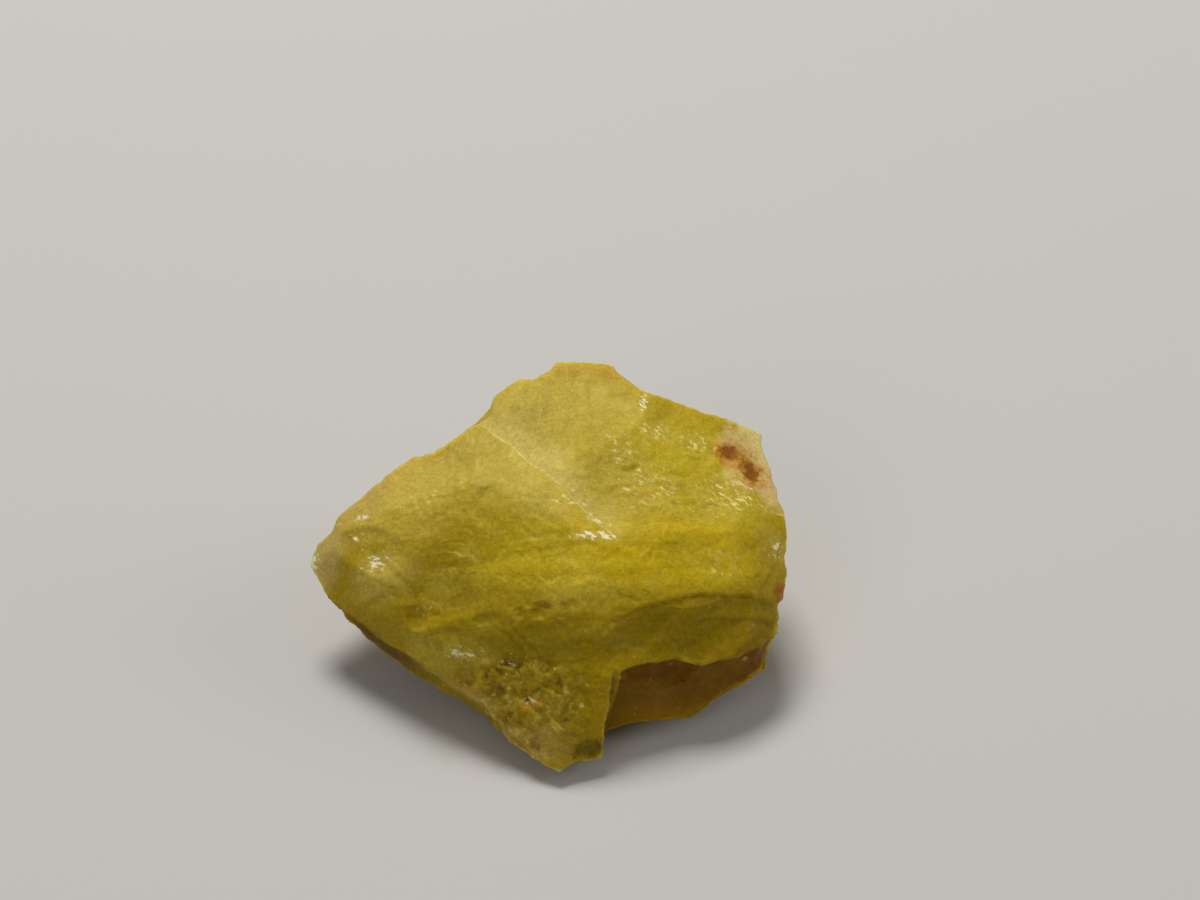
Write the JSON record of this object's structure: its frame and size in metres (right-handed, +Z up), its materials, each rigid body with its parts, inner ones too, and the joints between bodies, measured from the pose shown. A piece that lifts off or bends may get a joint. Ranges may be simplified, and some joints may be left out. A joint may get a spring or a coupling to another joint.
{
  "type": "raw rhodizite crystal",
  "caption": "Broken, wine-yellow mineral crystal with a bright top, stepped front, hackly spur, dark shell-shaped fracture and a rust-stained pale corner, resting on a flat cleavage face.",
  "frame": {"origin": "on the flat face that the crystal rests on, below its middle", "axes": "+X along the crystal's length to its right edge, +Y to its back, +Z up out of the surface that it rests on"},
  "size_m": [0.0142, 0.0112, 0.0069],
  "materials": {
    "rhodizite_yellow": "glassy, cloudy and uneven on broken faces"
  },
  "bodies": {
    "root": {"rhodizite_crystal": "rhodizite_yellow"}
  },
  "joints": []
}
